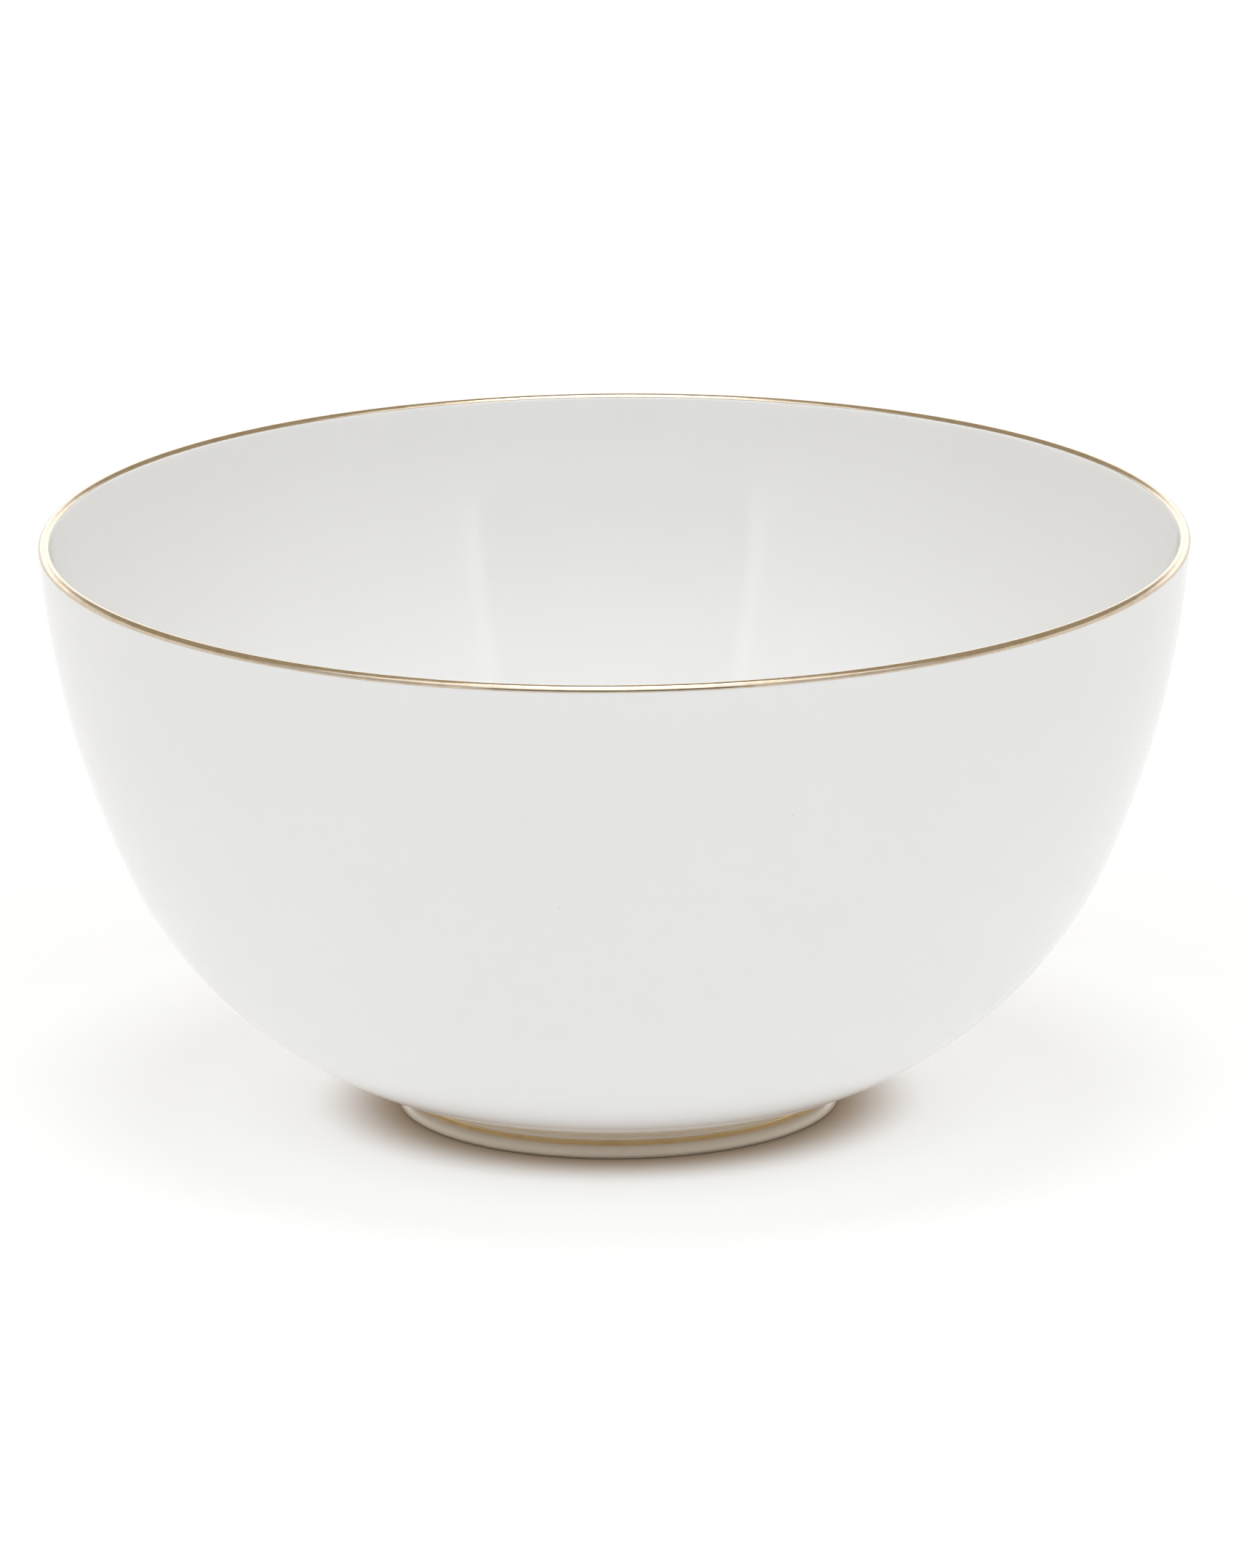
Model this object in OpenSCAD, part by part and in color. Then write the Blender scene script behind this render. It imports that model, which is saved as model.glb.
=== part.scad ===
// Round porcelain serving bowl on a low turned foot ring.
// The fired body, the luted foot ring, the two glaze coats and the two gold bands are
// separate solids. They are all turned round the Z axis and meet face to face.
// Millimetres, +Z up. The origin is on the axis, in the plane that the foot stands on.

/* [Bowl] */
// Diameter over the gilded lip
rim_d = 240; // [220:1:260]
// Height from the table to the top of the gilded lip
bowl_h = 122; // [112:1:132]
// Lean of the wall at the lip, in degrees from upright
flare_a = 4.5; // [3:0.5:7]
// Lean of the wall where the belly begins, in degrees from upright
belly_a = 24; // [20:1:28]
// Radius of the long curve of the outer wall
wall_r = 200; // [180:5:220]
// Radius of the long curve of the inner wall
inner_wall_r = 192; // [175:1:195]
// Radius of the half round lip, which is half the wall's thickness there
lip_r = 1.2; // [1:0.1:1.6]
// Height of the floor inside the bowl, on the axis
floor_z = 9; // [8:0.5:12]
// Lean of the inner belly where the flat dish of the floor begins
floor_a = 84; // [82:1:87]

/* [Foot] */
// Largest diameter of the foot's bead
foot_d = 92; // [92:1:100]
// Height of the bead, up to the bottom of the groove
bead_h = 2.7; // [2.5:0.1:3]
// Diameter at the bottom of the groove between the bead and the belly
neck_d = 86; // [82:1:86]
// Radius of the groove
groove_r = 1; // [0.8:0.1:1.2]
// Radius of the two rounded edges of the bare standing rim
foot_round_r = 1; // [0.8:0.1:1.2]
// Inner radius of the bare standing rim's flat
stand_in_r = 41.5; // [40.5:0.1:42]
// Taper of the inside of the foot ring, in degrees from upright
well_draft_a = 8; // [4:1:12]
// Height of the glazed underside inside the foot ring
well_z = 4.8; // [4.6:0.1:5.4]
// Radius of the round corner between the underside and the foot ring
well_fillet_r = 1; // [0.6:0.1:1.4]

/* [Coats] */
// Thickness of the glaze
glaze_t = 0.2; // [0.15:0.05:0.3]
// Thickness of the gold, with its ground coat
gold_t = 0.05; // [0.04:0.01:0.08]
// Thickness of the slip that bonds the foot ring to the body
slip_t = 0.3; // [0.2:0.05:0.4]
// Angle above level at which the gold on the inside of the lip ends
gold_lip_a = 30; // [10:5:45]
// Angle below level at which the glaze is wiped off the foot's rounded edges
wipe_a = 30; // [15:15:45]
// Angle below level at which the gold in the groove begins
gold_groove_a = 15; // [15:5:30]

/* [Hidden] */

// Facets round the axis in a preview. The solids themselves are true cones and planes.
round_steps = 180;

// An arc of the outline is [centre, signed radius, first normal angle, last normal angle].
// The normal points out of the solid. The radius is positive where the solid bulges and
// negative where it is hollow, so a surface that lies "depth" inside the outline has the
// radius less the depth, the same centre and the same angles.
function dir(a) = [cos(a), sin(a)];
function arc_point(arc, a, depth) = arc[0] + (arc[1] - depth) * dir(a);
// Steps along an arc, so that the straight pieces stay within chord_gap of the true curve
function arc_steps(arc) =
    ceil(abs(arc[3] - arc[2]) / (2 * acos(1 - chord_gap / max(1, abs(arc[1])))));
function arc_points(arc, depth) =
    [for (i = [0 : arc_steps(arc)])
        arc_point(arc, arc[2] + (arc[3] - arc[2]) * i / arc_steps(arc), depth)];
function outline(arcs, depth) = [for (arc = arcs) each arc_points(arc, depth)];
function reversed(list) = [for (i = [len(list) - 1 : -1 : 0]) list[i]];
// Centre of an arc that carries on smoothly from another, at the normal angle a
function next_centre(centre, r_from, r_to, a) = centre + (r_from - r_to) * dir(a);

// How far an outline may leave the true curve between two of its points
chord_gap = 0.012;

// The lip's half circle, measured on the glaze, under the gold
lip_c = [rim_d / 2 - lip_r - gold_t, bowl_h - lip_r - gold_t];

// The bead, its groove and the bare standing rim
bead_top_r = bead_h - foot_round_r;
bead_c = [foot_d / 2 - bead_top_r, foot_round_r];
groove_c = [neck_d / 2 + groove_r, bead_h + groove_r];
outer_round_c = [foot_d / 2 - glaze_t - foot_round_r, foot_round_r];
inner_round_c = [stand_in_r, foot_round_r];

// Outer wall and belly. The belly's radius makes it meet the groove smoothly.
wall_c = next_centre(lip_c, lip_r, wall_r, -flare_a);
wall_end = wall_c + wall_r * dir(-belly_a);
belly_span = wall_end - groove_c;
belly_r = (belly_span * belly_span - groove_r * groove_r)
    / (2 * (belly_span * dir(-belly_a) + groove_r));
belly_c = next_centre(wall_c, wall_r, belly_r, -belly_a);
belly_end_a = atan2(groove_c[1] - belly_c[1], groove_c[0] - belly_c[0]);

// Inner wall, inner belly and floor. The belly's radius brings the floor to its height.
inner_wall_c = next_centre(lip_c, lip_r, -inner_wall_r, 180 - flare_a);
inner_end = inner_wall_c - inner_wall_r * dir(180 - belly_a);
dish_k = tan(45 - floor_a / 2);
inner_belly_r = (inner_end[1] - dish_k * inner_end[0] - floor_z)
    / (sin(floor_a) - sin(belly_a) - dish_k * (cos(belly_a) - cos(floor_a)));
inner_belly_c = next_centre(inner_wall_c, -inner_wall_r, -inner_belly_r, 180 - belly_a);
floor_r = (inner_belly_c - inner_belly_r * dir(180 - floor_a))[0] / cos(floor_a);
floor_c = [0, floor_z + floor_r];

// The slip joint lies level across the groove's waist
slip_a = asin(slip_t / 2 / (groove_r + glaze_t));
slip_top = groove_c[1] + slip_t / 2;
slip_bottom = groove_c[1] - slip_t / 2;

// Arcs inside the bowl, from the axis up to the gold on the rounded lip
inside_arcs = [
    [floor_c, -floor_r, 90, 180 - floor_a],
    [inner_belly_c, -inner_belly_r, 180 - floor_a, 180 - belly_a],
    [inner_wall_c, -inner_wall_r, 180 - belly_a, 180 - flare_a],
    [lip_c, lip_r, 180 - flare_a, 180 - gold_lip_a],
];
// The rest of the rounded lip, which carries the gold out to the wall's outside
gold_lip_arcs = [[lip_c, lip_r, 180 - gold_lip_a, -flare_a]];
// Arcs outside the bowl, from the lip down to the slip joint
outside_arcs = [
    [wall_c, wall_r, -flare_a, -belly_a],
    [belly_c, belly_r, -belly_a, belly_end_a],
    [groove_c, -groove_r, belly_end_a, -slip_a],
];
slip_arc = [groove_c, -groove_r, -slip_a, slip_a];
// Arcs of the foot ring's outside, from the slip joint down to the widest place
foot_arcs = [
    [groove_c, -groove_r, slip_a, gold_groove_a],
    [groove_c, -groove_r, gold_groove_a, 90],
    [bead_c, bead_top_r, 90, 0],
];
// Rounded edges of the standing rim. The glaze covers only their upper parts.
outer_round = [outer_round_c, foot_round_r + glaze_t, 0, -90];
outer_round_glazed = [outer_round_c, foot_round_r + glaze_t, 0, -wipe_a];
inner_round = [inner_round_c, foot_round_r + glaze_t, 270, 180 + well_draft_a];
inner_round_glazed = [inner_round_c, foot_round_r + glaze_t, 180 + wipe_a, 180 + well_draft_a];

// The straight inside of the foot ring: its radius at height z
function well_wall_r(z, depth) =
    let (p = arc_point(inner_round, 180 + well_draft_a, depth))
    p[0] - (z - p[1]) * tan(well_draft_a);
// The round corner under the base. Its lower end lies on the straight inside.
well_fillet_z = well_z - well_fillet_r;
well_fillet_end_z = well_fillet_z + well_fillet_r * sin(well_draft_a);
well_fillet_c = [well_wall_r(well_fillet_end_z, 0) - well_fillet_r * cos(well_draft_a),
    well_fillet_z];
well_fillet = [well_fillet_c, -well_fillet_r, 180 + well_draft_a, 270];

// Underside inside the foot ring, from the round corner to the axis
function well_points(depth) = concat(arc_points(well_fillet, depth), [[0, well_z + depth]]);

module turned(points) {
    rotate_extrude($fn = round_steps) polygon(points);
}

// Fired porcelain wall and floor, with a short turned seat for the foot ring
module bowl_body() {
    color("whitesmoke") turned(concat(
        outline(inside_arcs, glaze_t),
        outline(gold_lip_arcs, glaze_t),
        outline(outside_arcs, glaze_t),
        [[well_wall_r(slip_top, glaze_t), slip_top]],
        well_points(glaze_t)
    ));
}

// Separate foot ring, bare where it stands
module foot_ring() {
    color("ivory") turned(concat(
        outline(foot_arcs, glaze_t),
        arc_points(outer_round, glaze_t),
        arc_points(inner_round, glaze_t),
        [[well_wall_r(slip_bottom, glaze_t), slip_bottom]]
    ));
}

// Slip that bonds the foot ring to the body
module foot_slip_joint() {
    color("linen") turned(concat(
        arc_points(slip_arc, glaze_t),
        [
            [well_wall_r(slip_bottom, glaze_t), slip_bottom],
            [well_wall_r(slip_top, glaze_t), slip_top],
        ]
    ));
}

// Glaze over the inside, the lip, the outside and the foot, down to the wiped edge
module glaze_coat() {
    arcs = concat(inside_arcs, gold_lip_arcs, outside_arcs, [slip_arc], foot_arcs,
        [outer_round_glazed]);
    color("white") turned(concat(
        outline(arcs, 0),
        reversed(outline(arcs, glaze_t))
    ));
}

// Glaze on the underside, inside the foot ring
module well_glaze() {
    color("white") turned(concat(
        arc_points(inner_round_glazed, 0),
        well_points(0),
        reversed(well_points(glaze_t)),
        reversed(arc_points(inner_round_glazed, glaze_t))
    ));
}

// A gold band that lies on the glaze along the given arcs
module gold_band(arcs) {
    color("darkgoldenrod") turned(concat(
        outline(arcs, -gold_t),
        reversed(outline(arcs, 0))
    ));
}

// Gold over the lip
module rim_gilding() {
    gold_band(gold_lip_arcs);
}

// Gold line in the lower half of the groove, out to the crest of the bead
module foot_gilding() {
    gold_band([
        [groove_c, -groove_r, gold_groove_a, 90],
        [bead_c, bead_top_r, 90, 90 - 1],
    ]);
}

bowl_body();
foot_ring();
foot_slip_joint();
glaze_coat();
well_glaze();
rim_gilding();
foot_gilding();
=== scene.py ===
"""Looks of a round porcelain serving bowl with a gilded lip and a gilded line above its foot.

Every piece is a closed mesh turned round the Z axis from the same arcs as its CAD node, which
it replaces. Metres, in the frame of the CAD model. Angles are in degrees.
"""

import math

import bpy
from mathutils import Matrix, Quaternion, Vector


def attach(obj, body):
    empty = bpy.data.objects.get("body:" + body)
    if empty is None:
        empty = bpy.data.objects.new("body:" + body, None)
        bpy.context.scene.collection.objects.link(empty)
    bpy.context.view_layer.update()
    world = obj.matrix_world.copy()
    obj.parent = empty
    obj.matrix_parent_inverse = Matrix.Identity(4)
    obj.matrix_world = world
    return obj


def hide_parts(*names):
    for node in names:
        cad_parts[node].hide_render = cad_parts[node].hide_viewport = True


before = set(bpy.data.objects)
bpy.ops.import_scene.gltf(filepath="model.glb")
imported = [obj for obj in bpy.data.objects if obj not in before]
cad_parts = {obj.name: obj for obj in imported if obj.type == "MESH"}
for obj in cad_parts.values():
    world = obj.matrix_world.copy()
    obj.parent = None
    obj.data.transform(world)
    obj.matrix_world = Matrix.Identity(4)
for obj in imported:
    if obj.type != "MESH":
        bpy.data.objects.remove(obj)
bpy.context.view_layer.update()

MM = 0.001

# Driving dimensions of the bowl
RIM_D = 240 * MM
BOWL_H = 122 * MM
FLARE_A = 4.5
BELLY_A = 24
WALL_R = 200 * MM
INNER_WALL_R = 192 * MM
LIP_R = 1.2 * MM
FLOOR_Z = 9 * MM
FLOOR_A = 84

# Driving dimensions of the foot
FOOT_D = 92 * MM
BEAD_H = 2.7 * MM
NECK_D = 86 * MM
GROOVE_R = 1 * MM
FOOT_ROUND_R = 1 * MM
STAND_IN_R = 41.5 * MM
WELL_DRAFT_A = 8
WELL_Z = 4.8 * MM
WELL_FILLET_R = 1 * MM

# The fired coats
GLAZE_T = 0.2 * MM
GOLD_T = 0.05 * MM
SLIP_T = 0.3 * MM
WIPE_A = 30
GOLD_LIP_A = 30
GOLD_GROOVE_A = 15

# How finely the pieces are turned: segments round the axis, and how far a chord of the
# profile may leave its arc
TURN_STEPS = 288
CHORD_GAP = 0.002 * MM
# The same for the long arcs of the wall and the floor, which curve gently
LONG_ARC_R = 10 * MM
LONG_ARC_CHORD_GAP = 0.012 * MM
# Segments across the flat underside, from the foot ring to the axis
FLAT_STEPS = 48
# Steps over which the glaze thins out at its edge
FEATHER_STEPS = 6
# Length over which gold thins out at its edges
GOLD_EDGE_L = 0.12 * MM
# Arc at the inner end of the lip's gold, and angle at which the outer one begins. Only these
# two short arcs change round the lip, so every section of the gold has as many points.
LIP_END_SPAN = 6
LIP_END_A = 2

# How far the hand-made edges wander either way, in degrees along their arcs
WIPE_WANDER = 7
WELL_WIPE_WANDER = 5
LIP_GOLD_IN_WANDER = 3
LIP_GOLD_OUT_WANDER = 2
GROOVE_GOLD_WANDER = 2
CREST_GOLD_WANDER = 1.5

# How far firing moves the lip: out of round in two and in five waves, and out of level
OVAL_OUT = 0.09 * MM
RIPPLE_OUT = 0.03 * MM
OVAL_UP = 0.05 * MM

# Colours, in pairs that each material is blended from
GLAZE_COLOURS = ((0.832, 0.834, 0.834, 1), (0.856, 0.856, 0.853, 1))
# Warm, darker glaze low on the outside: partly glaze pooling in the groove, partly painted
# shade under the belly
POOLED_GLAZE_AND_SHADE = (0.84, 0.755, 0.64, 1)
PINHOLE = (0.30, 0.25, 0.20, 1)
BARE_COLOURS = ((0.74, 0.70, 0.64, 1), (0.82, 0.79, 0.74, 1))
WORN_GREY = (0.50, 0.47, 0.43, 1)
GRIT = (0.22, 0.18, 0.15, 1)
SLIP_COLOURS = ((0.72, 0.69, 0.63, 1), (0.80, 0.77, 0.71, 1))
RIM_GOLD_COLOURS = ((0.67, 0.565, 0.44, 1), (0.61, 0.50, 0.37, 1))
FOOT_GOLD_COLOURS = ((0.90, 0.73, 0.45, 1), (0.80, 0.63, 0.36, 1))
# The first floor colour is the warm tint of painted shade where the bowl stands; the second is
# the open floor
FLOOR_SHADE_AND_OPEN_COLOURS = ((0.60, 0.49, 0.38, 1), (0.50, 0.50, 0.50, 1))
FLOOR_TOOTH = (0.5, 0.5, 0.5, 1)

# Camera: a long lens, a little above the lip
CAMERA_ELEVATION = 15.97
CAMERA_DISTANCE = 6.0
CAMERA_AIM = Vector((2.35, 0, 68.48)) * MM
CAMERA_LENS = 657.4
CAMERA_ROLL = 0.447

# Surroundings: light colour, azimuths from and to with their softness, elevations likewise.
# Azimuth 0 is on the camera's side and 180 behind the bowl. The side screens stand between
# azimuths 28.5 and 78, and the front screen inside 28.5. An area covers those above it.
CEILING_LIGHT = (0.44, 0.385, 0.28, 1)
LIGHT_AREAS = [
    # Lamp overhead
    ((10.0, 10.3, 10.8, 1), (-400, 400, 5), (78, 400, 3)),
    # Sweep at the sides and behind, and its bright middle
    ((0.95, 0.95, 0.95, 1), (78, 400, 8), (-400, 22, 3)),
    ((1.70, 1.70, 1.70, 1), (140, 400, 8), (-400, 20, 3)),
    # Side screens: the whole, their dimmer lower part, and their bright inner edge
    ((1.60, 1.60, 1.60, 1), (28.5, 78, 1), (-400, 72, 4)),
    ((0.64, 0.64, 0.64, 1), (28.5, 78, 1), (-400, 45, 4)),
    ((1.30, 1.30, 1.30, 1), (28.5, 32, 0.5), (-400, 70, 4)),
    # Front screen, and its dark lower part
    ((2.00, 2.00, 2.00, 1), (-400, 28.5, 1), (-400, 75, 4)),
    ((0.22, 0.22, 0.21, 1), (-400, 28.5, 1), (-400, 36, 4)),
    # Horizon
    ((0.85, 0.85, 0.85, 1), (-400, 400, 5), (-400, 2, 1)),
]

# Glow of the floor, which is a lit white table: far from the bowl, and beside it, where the
# stronger glow is painted light that lifts the bowl's shadow on the floor. Then the distances
# from the axis between which the glow fades in past the painted shade round the foot, and over
# which the painted light falls off
FLOOR_GLOW_FAR = 0.42
FLOOR_GLOW_WITH_PAINTED_LIGHT = 0.53
PAINTED_SHADE_FADES = (44 * MM, 66 * MM)
PAINTED_LIGHT_FALLS = (80 * MM, 160 * MM)


# ---------------------------------------------------------------- arcs of the outline

def direction(a):
    """Unit vector at an angle in the plane of radius and height."""
    return Vector((math.cos(math.radians(a)), math.sin(math.radians(a))))


def arc_point(arc, a, depth=0.0):
    """Point of an arc at a normal angle, depth metres inside the glazed outline."""
    centre, radius = arc[0], arc[1]
    return centre + (radius - depth) * direction(a)


def next_centre(centre, r_from, r_to, a):
    """Centre of an arc that carries on smoothly from another at a normal angle."""
    return centre + (r_from - r_to) * direction(a)


def arc_steps(arc):
    """Number of chords that an arc needs."""
    radius = max(1 * MM, abs(arc[1]))
    gap = LONG_ARC_CHORD_GAP if radius > LONG_ARC_R else CHORD_GAP
    step = 2 * math.degrees(math.acos(1 - gap / radius))
    return max(2, math.ceil(abs(arc[3] - arc[2]) / step))


def arc_path(arcs, depth=0.0):
    """Points along a chain of arcs, without doubles where two arcs meet."""
    path = []
    for arc in arcs:
        steps = arc_steps(arc)
        for i in range(0 if not path else 1, steps + 1):
            path.append(arc_point(arc, arc[2] + (arc[3] - arc[2]) * i / steps, depth))
    return path


lip_c = Vector((RIM_D / 2 - LIP_R - GOLD_T, BOWL_H - LIP_R - GOLD_T))
bead_top_r = BEAD_H - FOOT_ROUND_R
bead_c = Vector((FOOT_D / 2 - bead_top_r, FOOT_ROUND_R))
groove_c = Vector((NECK_D / 2 + GROOVE_R, BEAD_H + GROOVE_R))
outer_round_c = Vector((FOOT_D / 2 - GLAZE_T - FOOT_ROUND_R, FOOT_ROUND_R))
inner_round_c = Vector((STAND_IN_R, FOOT_ROUND_R))

# Outer wall and belly. The belly's radius makes it meet the groove smoothly.
wall_c = next_centre(lip_c, LIP_R, WALL_R, -FLARE_A)
belly_span = wall_c + WALL_R * direction(-BELLY_A) - groove_c
belly_r = (belly_span.dot(belly_span) - GROOVE_R ** 2) / (
    2 * (belly_span.dot(direction(-BELLY_A)) + GROOVE_R))
belly_c = next_centre(wall_c, WALL_R, belly_r, -BELLY_A)
belly_end_a = math.degrees(math.atan2(groove_c.y - belly_c.y, groove_c.x - belly_c.x))

# Inner wall, inner belly and floor. The belly's radius brings the floor to its height.
inner_wall_c = next_centre(lip_c, LIP_R, -INNER_WALL_R, 180 - FLARE_A)
inner_end = inner_wall_c - INNER_WALL_R * direction(180 - BELLY_A)
dish_k = math.tan(math.radians(45 - FLOOR_A / 2))
floor_dir, inner_dir = direction(FLOOR_A), direction(BELLY_A)
inner_belly_r = (inner_end.y - dish_k * inner_end.x - FLOOR_Z) / (
    floor_dir.y - inner_dir.y - dish_k * (inner_dir.x - floor_dir.x))
inner_belly_c = next_centre(inner_wall_c, -INNER_WALL_R, -inner_belly_r, 180 - BELLY_A)
floor_r = (inner_belly_c - inner_belly_r * direction(180 - FLOOR_A)).x / floor_dir.x
floor_c = Vector((0, FLOOR_Z + floor_r))

slip_a = math.degrees(math.asin(SLIP_T / 2 / (GROOVE_R + GLAZE_T)))
slip_top = groove_c.y + SLIP_T / 2
slip_bottom = groove_c.y - SLIP_T / 2

# Arcs: centre, signed radius, first and last normal angle. A hollow has a negative radius.
floor_arc = (floor_c, -floor_r, 90, 180 - FLOOR_A)
inner_belly_arc = (inner_belly_c, -inner_belly_r, 180 - FLOOR_A, 180 - BELLY_A)
inner_wall_arc = (inner_wall_c, -INNER_WALL_R, 180 - BELLY_A, 180 - FLARE_A)
lip_arc = (lip_c, LIP_R, 180 - FLARE_A, -FLARE_A)
wall_arc = (wall_c, WALL_R, -FLARE_A, -BELLY_A)
belly_arc = (belly_c, belly_r, -BELLY_A, belly_end_a)
groove_top_arc = (groove_c, -GROOVE_R, belly_end_a, -slip_a)
slip_arc = (groove_c, -GROOVE_R, -slip_a, slip_a)
groove_foot_arc = (groove_c, -GROOVE_R, slip_a, 90)
bead_arc = (bead_c, bead_top_r, 90, 0)
outer_round = (outer_round_c, FOOT_ROUND_R + GLAZE_T, 0, -90)
inner_round = (inner_round_c, FOOT_ROUND_R + GLAZE_T, 270, 180 + WELL_DRAFT_A)


def well_wall_r(z, depth):
    """Radius of the straight inside of the foot ring at a height."""
    low = arc_point(inner_round, 180 + WELL_DRAFT_A, depth)
    return low.x - (z - low.y) * math.tan(math.radians(WELL_DRAFT_A))


def well_path(depth):
    """Underside inside the foot ring, from its round corner to the axis."""
    centre_z = WELL_Z - WELL_FILLET_R
    end_z = centre_z + WELL_FILLET_R * math.sin(math.radians(WELL_DRAFT_A))
    centre_r = well_wall_r(end_z, 0) - WELL_FILLET_R * math.cos(math.radians(WELL_DRAFT_A))
    fillet = (Vector((centre_r, centre_z)), -WELL_FILLET_R, 180 + WELL_DRAFT_A, 270)
    path = arc_path([fillet], depth)
    edge = path[-1].x
    for i in range(1, FLAT_STEPS + 1):
        path.append(Vector((edge * (1 - i / FLAT_STEPS), WELL_Z + depth)))
    return path


# ---------------------------------------------------------------- turning meshes

def wave(t, turns, phase):
    """A smooth wave round the bowl. t is the part of a whole turn."""
    return math.sin(2 * math.pi * (turns * t + phase))


def hand_wave(t, phase):
    """The small wander of a line drawn by hand on a turntable, between -1 and 1."""
    slow = 0.45 * wave(t, 3, phase) + 0.3 * wave(t, 7, 2 * phase)
    return slow + 0.25 * wave(t, 19, 3 * phase)


def fired(r, z, t):
    """Where firing has carried a point: the lip is about a tenth of a millimetre out of round,
    and half as much out of level. Nothing moves on the axis or on the table."""
    rise = max(0.0, z / BOWL_H)
    out = OVAL_OUT * rise ** 2 * wave(t, 2, 0.13) + RIPPLE_OUT * rise * wave(t, 5, 0.4)
    up = OVAL_UP * rise ** 2 * wave(t, 2, 0.4)
    r = r + out * min(1.0, r / (20 * MM))
    angle = 2 * math.pi * t
    return (r * math.cos(angle), r * math.sin(angle), z + up)


def turned(name, section, node, material):
    """A closed mesh turned round Z. section(t) gives the outline at a part t of the turn, with
    as many points at every t.

    An outline whose two ends lie on the axis closes there in two poles. Any other outline is
    a closed ring.
    """
    sections = [section(i / TURN_STEPS) for i in range(TURN_STEPS)]
    on_axis = sections[0][0].x < 1e-9 and sections[0][-1].x < 1e-9
    inner = slice(1, -1) if on_axis else slice(None)
    verts = []
    for i, outline in enumerate(sections):
        verts += [fired(p.x, p.y, i / TURN_STEPS) for p in outline[inner]]
    count = len(sections[0][inner])
    faces = []
    for i in range(TURN_STEPS):
        here, there = i * count, (i + 1) % TURN_STEPS * count
        for j in range(count - 1 if on_axis else count):
            k = (j + 1) % count
            faces.append((here + j, here + k, there + k, there + j))
    if on_axis:
        first, last = len(verts), len(verts) + 1
        verts += [(0, 0, sections[0][0].y), (0, 0, sections[0][-1].y)]
        for i in range(TURN_STEPS):
            here, there = i * count, (i + 1) % TURN_STEPS * count
            faces.append((first, here, there))
            faces.append((here + count - 1, last, there + count - 1))
    mesh = bpy.data.meshes.new(name)
    mesh.from_pydata(verts, [], faces)
    mesh.validate()
    mesh.update()
    mesh.shade_smooth()
    mesh.materials.append(material)
    piece = bpy.data.objects.new(name, mesh)
    bpy.context.scene.collection.objects.link(piece)
    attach(piece, "root")
    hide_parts(node)
    return piece


def shares(steps):
    """Even shares from 0 to 1."""
    return [i / steps for i in range(steps + 1)]


# ---------------------------------------------------------------- outlines of the pieces

def body_outline(_t):
    """Fired porcelain wall and floor, under the glaze, with its seat for the foot ring."""
    arcs = [floor_arc, inner_belly_arc, inner_wall_arc, lip_arc, wall_arc, belly_arc,
            groove_top_arc]
    seat = [Vector((well_wall_r(slip_top, GLAZE_T), slip_top))]
    return arc_path(arcs, GLAZE_T) + seat + well_path(GLAZE_T)


def ring_outline(_t):
    """The foot ring, under the glaze and bare where it stands."""
    outside = arc_path([groove_foot_arc, bead_arc], GLAZE_T)
    stand = arc_path([outer_round], GLAZE_T)[1:] + arc_path([inner_round], GLAZE_T)
    seat = [Vector((well_wall_r(slip_bottom, GLAZE_T), slip_bottom))]
    return outside + stand + seat


def slip_outline(_t):
    """The slip that bonds the foot ring to the body."""
    return arc_path([slip_arc], GLAZE_T) + [
        Vector((well_wall_r(slip_bottom, GLAZE_T), slip_bottom)),
        Vector((well_wall_r(slip_top, GLAZE_T), slip_top)),
    ]


def glaze_outline(t):
    """The glaze from the middle of the floor over the lip and down to its wiped edge."""
    edge_a = -WIPE_A - WIPE_WANDER * hand_wave(t, 0.21)
    wiped = (outer_round_c, FOOT_ROUND_R + GLAZE_T, 0, edge_a)
    arcs = [floor_arc, inner_belly_arc, inner_wall_arc, lip_arc, wall_arc, belly_arc,
            groove_top_arc, slip_arc, groove_foot_arc, bead_arc]
    front, back = arc_path(arcs), arc_path(arcs, GLAZE_T)
    for share in shares(FEATHER_STEPS)[1:]:
        a = edge_a * share
        thickness = GLAZE_T * math.sqrt(1 - share ** 2)
        front.append(arc_point(wiped, a, GLAZE_T - thickness))
        if share < 1:
            back.append(arc_point(wiped, a, GLAZE_T))
    return front + back[::-1]


def well_glaze_outline(t):
    """The glaze on the underside, from its wiped edge inside the foot ring to the axis."""
    top_a = 180 + WELL_DRAFT_A
    edge_a = 180 + WIPE_A + WELL_WIPE_WANDER * hand_wave(t, 0.37)
    front, back = [], []
    for share in shares(FEATHER_STEPS)[:-1]:
        a = edge_a + (top_a - edge_a) * share
        thickness = GLAZE_T * math.sqrt(1 - (1 - share) ** 2)
        front.append(arc_point(inner_round, a, GLAZE_T - thickness))
        if share > 0:
            back.append(arc_point(inner_round, a, GLAZE_T))
    top = [arc_point(inner_round, top_a, depth) for depth in (0, GLAZE_T)]
    front += [top[0]] + well_path(0)
    back += [top[1]] + well_path(GLAZE_T)
    return back[::-1] + front


def gold_outline(arcs):
    """Outline of a gold film on the glaze along arcs, thinned out at both its ends."""
    path = arc_path(arcs)
    lengths = [0.0]
    for a, b in zip(path, path[1:]):
        lengths.append(lengths[-1] + (b - a).length)
    film = arc_path(arcs, -GOLD_T)
    front = []
    for point, outer, along in zip(path, film, lengths):
        near = min(1.0, min(along, lengths[-1] - along) / GOLD_EDGE_L)
        front.append(point.lerp(outer, math.sqrt(1 - (1 - near) ** 2)))
    return front + path[-2:0:-1]


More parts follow.
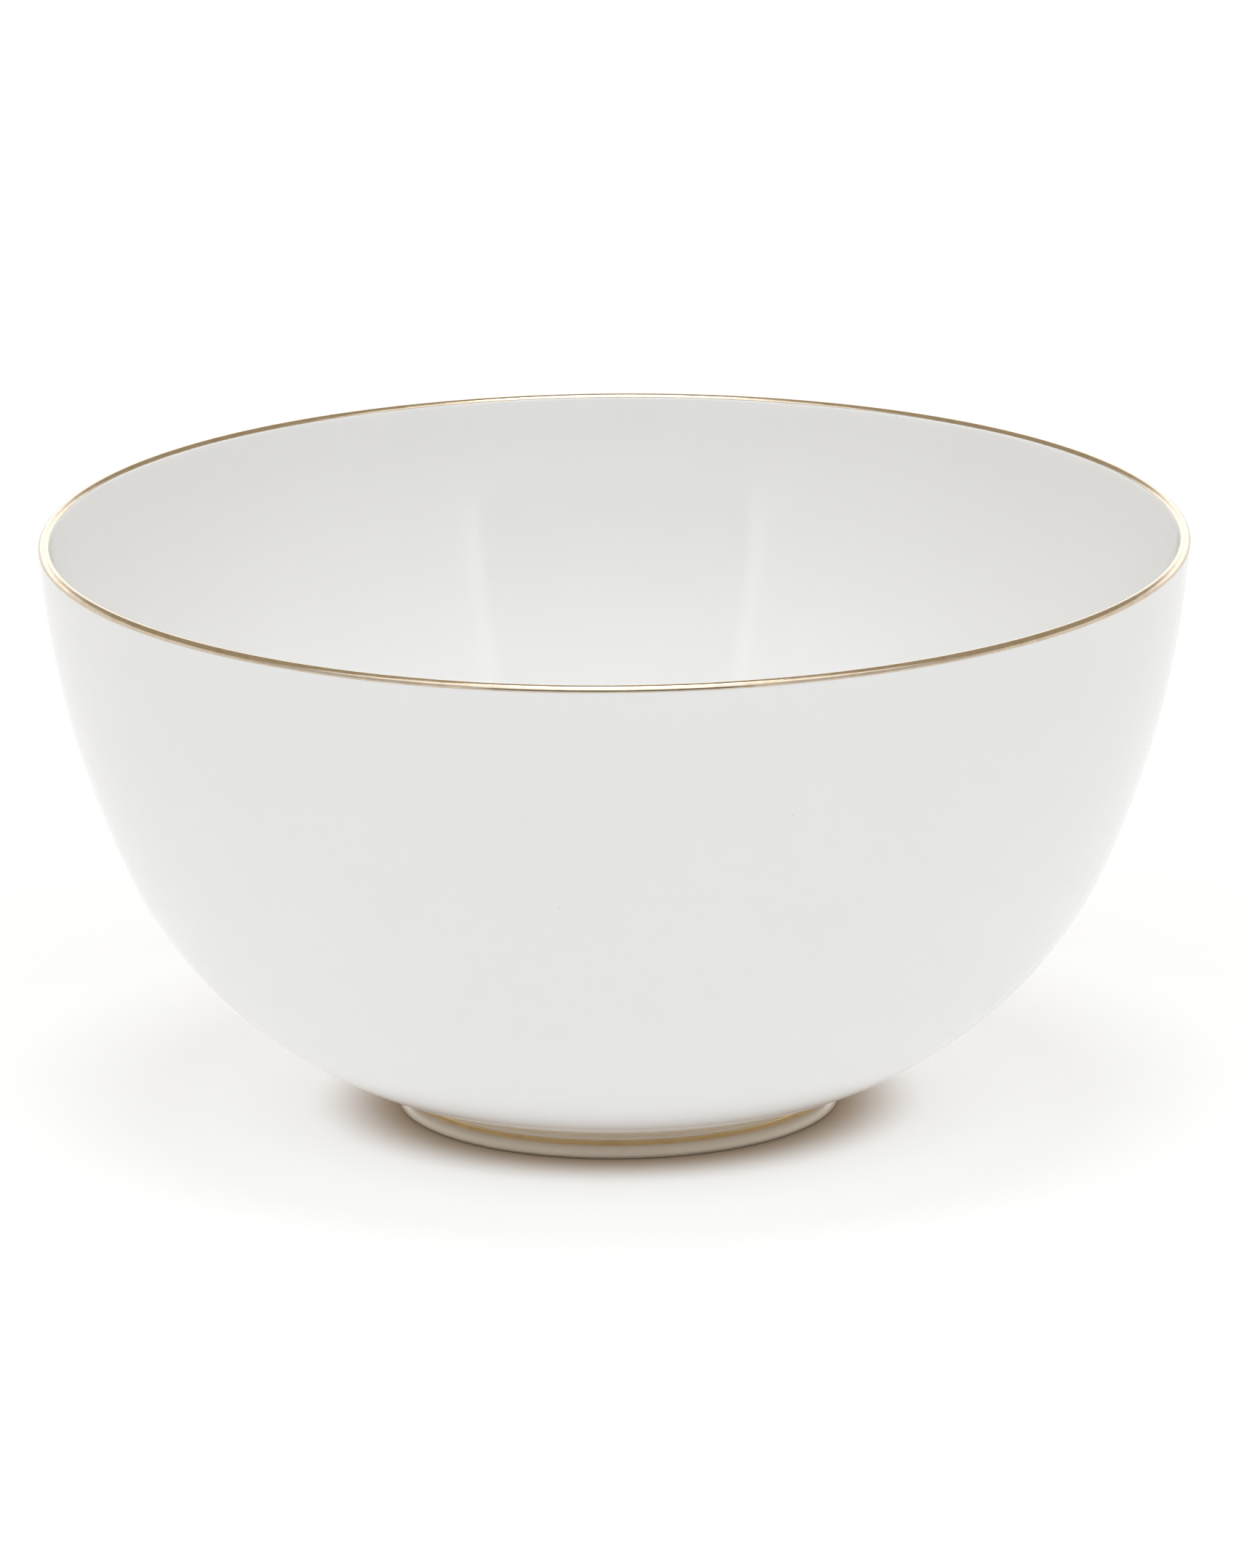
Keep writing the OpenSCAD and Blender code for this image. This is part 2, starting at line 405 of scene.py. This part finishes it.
def rim_gold_outline(t):
    """Gold over the lip, from inside its top to the outside. Its two edges wander a little."""
    in_a = GOLD_LIP_A + LIP_GOLD_IN_WANDER * hand_wave(t, 0.67)
    out_a = FLARE_A - LIP_GOLD_OUT_WANDER + LIP_GOLD_OUT_WANDER * hand_wave(t, 0.11)
    in_end_a = 180 - GOLD_LIP_A - LIP_END_SPAN
    return gold_outline([
        (lip_c, LIP_R, 180 - in_a, in_end_a),
        (lip_c, LIP_R, in_end_a, LIP_END_A),
        (lip_c, LIP_R, LIP_END_A, -out_a),
    ])


def foot_gold_outline(t):
    """Gold line in the lower half of the groove, out to the crest of the bead."""
    top_a = GOLD_GROOVE_A + GROOVE_GOLD_WANDER * hand_wave(t, 0.29)
    crest_a = 90 - 1 - CREST_GOLD_WANDER * hand_wave(t, 0.83)
    return gold_outline([
        (groove_c, -GROOVE_R, top_a, 90),
        (bead_c, bead_top_r, 90, crest_a),
    ])


# ---------------------------------------------------------------- materials

def add(tree, kind, inputs=None, **settings):
    """A new node. Inputs are given by name or number, as values or as sockets to link."""
    node = tree.nodes.new("ShaderNode" + kind)
    for key, value in settings.items():
        setattr(node, key, value)
    for key, value in (inputs or {}).items():
        if isinstance(value, bpy.types.NodeSocket):
            tree.links.new(value, node.inputs[key])
        else:
            node.inputs[key].default_value = value
    return node


def start_material(name):
    """A new material with its node tree, its shader and the place in the bowl's frame."""
    material = bpy.data.materials.new(name)
    material.use_nodes = True
    tree = material.node_tree
    place = add(tree, "TexCoord").outputs["Object"]
    return material, tree, tree.nodes["Principled BSDF"], place


def noise(tree, place, size, detail=2.0, roughness=0.5):
    """Noise whose blobs are about size metres across, from 0 to 1."""
    return add(tree, "TexNoise", {"Vector": place, "Scale": 1 / size, "Detail": detail,
                                  "Roughness": roughness}).outputs["Fac"]


def ramp(tree, value, start, end, low=0.0, high=1.0):
    """A smooth step from low at start to high at end."""
    return add(tree, "MapRange", {"Value": value, "From Min": start, "From Max": end,
                                  "To Min": low, "To Max": high},
               interpolation_type="SMOOTHSTEP").outputs["Result"]


def maths(tree, operation, a, b=0.0):
    """One sum of two values."""
    return add(tree, "Math", {0: a, 1: b}, operation=operation).outputs[0]


def blend(tree, factor, a, b):
    """A colour between two colours."""
    node = add(tree, "Mix", data_type="RGBA")
    for socket, value in zip((node.inputs[0], node.inputs[6], node.inputs[7]),
                             (factor, a, b)):
        if isinstance(value, bpy.types.NodeSocket):
            tree.links.new(value, socket)
        else:
            socket.default_value = value
    return node.outputs[2]


def relief(tree, layers):
    """Bump from several heights. Each layer is a height from 0 to 1 and its depth in metres."""
    normal = None
    for height, depth in layers:
        inputs = {"Height": height, "Distance": depth, "Strength": 1.0}
        if normal is not None:
            inputs["Normal"] = normal
        normal = add(tree, "Bump", inputs).outputs["Normal"]
    return normal


def height_of(tree, place):
    """Height above the table."""
    return add(tree, "SeparateXYZ", {"Vector": place}).outputs["Z"]


def distance_out(tree, place):
    """Distance from the bowl's axis."""
    flat = add(tree, "VectorMath", {0: place, 1: (1, 1, 0)}, operation="MULTIPLY")
    return add(tree, "VectorMath", {0: flat.outputs["Vector"]},
               operation="LENGTH").outputs["Value"]


def specks(tree, place, cell, size, kept):
    """Rare round specks: 1 in a speck. kept is the share of the cells that hold one."""
    cells = add(tree, "TexVoronoi", {"Vector": place, "Scale": 1 / cell})
    near = ramp(tree, cells.outputs["Distance"], size / cell, 0.5 * size / cell)
    chance = add(tree, "SeparateColor", {"Color": cells.outputs["Color"]}).outputs["Red"]
    return maths(tree, "MULTIPLY", near, maths(tree, "LESS_THAN", chance, kept))


def make_glaze():
    """Clear glossy glaze on white porcelain. Low on the outside it turns warmer and darker
    towards the foot: partly glaze pooling in the groove, partly painted shade under the belly.
    """
    material, tree, shader, place = start_material("porcelain_glaze")
    cloud = noise(tree, place, 45 * MM, 3)
    colour = blend(tree, cloud, *GLAZE_COLOURS)
    # Painted shade with some real pooling: the glaze turns warmer and darker from 16 mm down to
    # 4 mm above the table
    pooled_and_shaded = ramp(tree, height_of(tree, place), 16 * MM, 4 * MM)
    colour = blend(tree, maths(tree, "MULTIPLY", pooled_and_shaded, 0.9), colour, POOLED_GLAZE_AND_SHADE)
    speck = specks(tree, place, 4 * MM, 0.16 * MM, 0.03)
    colour = blend(tree, maths(tree, "MULTIPLY", speck, 0.5), colour, PINHOLE)
    tree.links.new(colour, shader.inputs["Base Color"])
    gloss = ramp(tree, noise(tree, place, 14 * MM, 4), 0.3, 0.7, 0.05, 0.10)
    tree.links.new(gloss, shader.inputs["Roughness"])
    shader.inputs["IOR"].default_value = 1.54
    tree.links.new(relief(tree, [
        (noise(tree, place, 26 * MM, 1), 0.03 * MM),
        (noise(tree, place, 3.5 * MM, 2), 0.002 * MM),
        (speck, -0.01 * MM),
    ]), shader.inputs["Normal"])
    return material


def make_bare_porcelain():
    """Unglazed fired porcelain with fine grain, and grey wear where it slides on a table."""
    material, tree, shader, place = start_material("bare_porcelain")
    grain = noise(tree, place, 0.35 * MM, 4, 0.7)
    colour = blend(tree, grain, *BARE_COLOURS)
    low = ramp(tree, height_of(tree, place), 0.12 * MM, 0.01 * MM)
    patches = ramp(tree, noise(tree, place, 5 * MM, 4, 0.65), 0.42, 0.66)
    worn = maths(tree, "MULTIPLY", maths(tree, "MULTIPLY", low, patches), 0.6)
    colour = blend(tree, worn, colour, WORN_GREY)
    grit = specks(tree, place, 1.6 * MM, 0.11 * MM, 0.12)
    colour = blend(tree, maths(tree, "MULTIPLY", grit, 0.6), colour, GRIT)
    tree.links.new(colour, shader.inputs["Base Color"])
    tree.links.new(ramp(tree, grain, 0.3, 0.7, 0.52, 0.72), shader.inputs["Roughness"])
    tree.links.new(relief(tree, [(grain, 0.015 * MM)]), shader.inputs["Normal"])
    return material


def make_slip():
    """Fired slip, a little coarser and greyer than the porcelain that it bonds."""
    material, tree, shader, place = start_material("fired_slip")
    grain = noise(tree, place, 0.5 * MM, 4, 0.7)
    colour = blend(tree, grain, *SLIP_COLOURS)
    tree.links.new(colour, shader.inputs["Base Color"])
    tree.links.new(ramp(tree, grain, 0.3, 0.7, 0.6, 0.8), shader.inputs["Roughness"])
    tree.links.new(relief(tree, [(grain, 0.03 * MM)]), shader.inputs["Normal"])
    return material


def make_gold(name, colours, smoothest, roughest):
    """Gold film with fine strokes that run round the bowl, and thinner, redder spots."""
    material, tree, shader, place = start_material(name)
    parts = add(tree, "SeparateXYZ", {"Vector": place})
    x, y, z = (parts.outputs[axis] for axis in "XYZ")
    # Squeezed across the band, so that the noise draws strokes along it
    squeeze = 60
    across = maths(tree, "ADD", z, distance_out(tree, place))
    across = maths(tree, "MULTIPLY", across, squeeze)
    stroke_place = add(tree, "CombineXYZ", {"X": x, "Y": y, "Z": across}).outputs["Vector"]
    strokes = noise(tree, stroke_place, 6 * MM, 3, 0.6)
    spots = ramp(tree, noise(tree, place, 3 * MM, 3), 0.45, 0.75)
    colour = blend(tree, spots, *colours)
    tree.links.new(colour, shader.inputs["Base Color"])
    shader.inputs["Metallic"].default_value = 1.0
    tree.links.new(ramp(tree, strokes, 0.3, 0.75, smoothest, roughest),
                   shader.inputs["Roughness"])
    tree.links.new(relief(tree, [(strokes, 0.001 * MM)]), shader.inputs["Normal"])
    return material


def make_floor_material():
    """Lit white table. Where the bowl stands it doesn't glow and turns warm: painted shade
    round the foot. Beside the bowl it glows more: painted light that lifts the bowl's shadow on
    the floor.
    """
    material, tree, shader, place = start_material("lit_table")
    out = distance_out(tree, place)
    tooth = noise(tree, place, 2 * MM, 3, 0.6)
    # Painted shade: no glow and a warm colour within these distances round the foot
    outside_painted_shade = ramp(tree, out, *PAINTED_SHADE_FADES)
    colour = blend(tree, outside_painted_shade, *FLOOR_SHADE_AND_OPEN_COLOURS)
    colour = blend(tree, maths(tree, "MULTIPLY", tooth, 0.04), colour, FLOOR_TOOTH)
    tree.links.new(colour, shader.inputs["Base Color"])
    tree.links.new(ramp(tree, tooth, 0.3, 0.7, 0.8, 0.95), shader.inputs["Roughness"])
    shader.inputs["Specular IOR Level"].default_value = 0.0
    shader.inputs["Emission Color"].default_value = (1, 1, 1, 1)
    # Painted light: a stronger glow beside the bowl that lifts its shadow on the floor
    strength = ramp(tree, out, *PAINTED_LIGHT_FALLS, FLOOR_GLOW_WITH_PAINTED_LIGHT, FLOOR_GLOW_FAR)
    glow = maths(tree, "MULTIPLY", outside_painted_shade, strength)
    tree.links.new(glow, shader.inputs["Emission Strength"])
    return material


# ---------------------------------------------------------------- stage, light and camera

def make_floor():
    """A round pale floor, wide enough to fill every view from above."""
    radius, steps = 3.5, 96
    verts = [(0, 0, 0)]
    for i in range(steps):
        angle = 2 * math.pi * i / steps
        verts.append((radius * math.cos(angle), radius * math.sin(angle), 0))
    faces = [(0, 1 + i, 1 + (i + 1) % steps) for i in range(steps)]
    mesh = bpy.data.meshes.new("floor")
    mesh.from_pydata(verts, [], faces)
    mesh.materials.append(make_floor_material())
    floor = bpy.data.objects.new("floor", mesh)
    bpy.context.scene.collection.objects.link(floor)


def make_world():
    """A studio's surroundings: a dim ceiling with a lamp overhead, a white sweep behind the
    bowl and white screens in front of it."""
    world = bpy.data.worlds.new("studio")
    world.use_nodes = True
    bpy.context.scene.world = world
    tree = world.node_tree
    way = add(tree, "TexCoord").outputs["Generated"]
    parts = add(tree, "SeparateXYZ", {"Vector": way})
    x, y, z = (parts.outputs[axis] for axis in "XYZ")
    azimuth = maths(tree, "ARCTAN2", x, maths(tree, "MULTIPLY", y, -1.0))
    azimuth = maths(tree, "ABSOLUTE", azimuth)
    elevation = maths(tree, "ARCSINE", z)

    def window(value, start, end, soft):
        """1 between two angles and 0 outside them, with soft edges."""
        start, end, soft = (math.radians(v) for v in (start, end, soft))
        rise = ramp(tree, value, start - soft, start + soft)
        fall = ramp(tree, value, end - soft, end + soft, 1.0, 0.0)
        return maths(tree, "MULTIPLY", rise, fall)

    light = CEILING_LIGHT
    for colour, across, upward in LIGHT_AREAS:
        area = maths(tree, "MULTIPLY", window(azimuth, *across), window(elevation, *upward))
        light = blend(tree, area, light, colour)
    tree.links.new(light, tree.nodes["Background"].inputs["Color"])


def make_camera():
    """A long lens at the view's height, rolled by less than half a degree."""
    data = bpy.data.cameras.new("camera")
    data.lens = CAMERA_LENS
    data.sensor_width = 36
    data.clip_start = 0.1
    data.clip_end = 20
    camera = bpy.data.objects.new("camera", data)
    e = math.radians(CAMERA_ELEVATION)
    camera.location = CAMERA_DISTANCE * Vector((0, -math.cos(e), math.sin(e)))
    look = (CAMERA_AIM - camera.location).to_track_quat("-Z", "Y")
    camera.rotation_mode = "QUATERNION"
    camera.rotation_quaternion = look @ Quaternion((0, 0, 1), -math.radians(CAMERA_ROLL))
    bpy.context.scene.collection.objects.link(camera)
    bpy.context.scene.camera = camera


def make_bowl():
    """All seven pieces of the bowl."""
    bare, glaze = make_bare_porcelain(), make_glaze()
    bright = make_gold("burnished_gold", RIM_GOLD_COLOURS, 0.13, 0.26)
    dull = make_gold("unburnished_gold", FOOT_GOLD_COLOURS, 0.30, 0.45)
    turned("bowl_body_turned", body_outline, "bowl_body", bare)
    turned("foot_ring_turned", ring_outline, "foot_ring", bare)
    turned("foot_slip_luted", slip_outline, "foot_slip_joint", make_slip())
    turned("glaze_coat_fired", glaze_outline, "glaze_coat", glaze)
    turned("well_glaze_fired", well_glaze_outline, "well_glaze", glaze)
    turned("rim_gilding_banded", rim_gold_outline, "rim_gilding", bright)
    turned("foot_gilding_banded", foot_gold_outline, "foot_gilding", dull)


make_camera()
make_world()
make_floor()
make_bowl()
bpy.context.scene.view_settings.view_transform = "Standard"
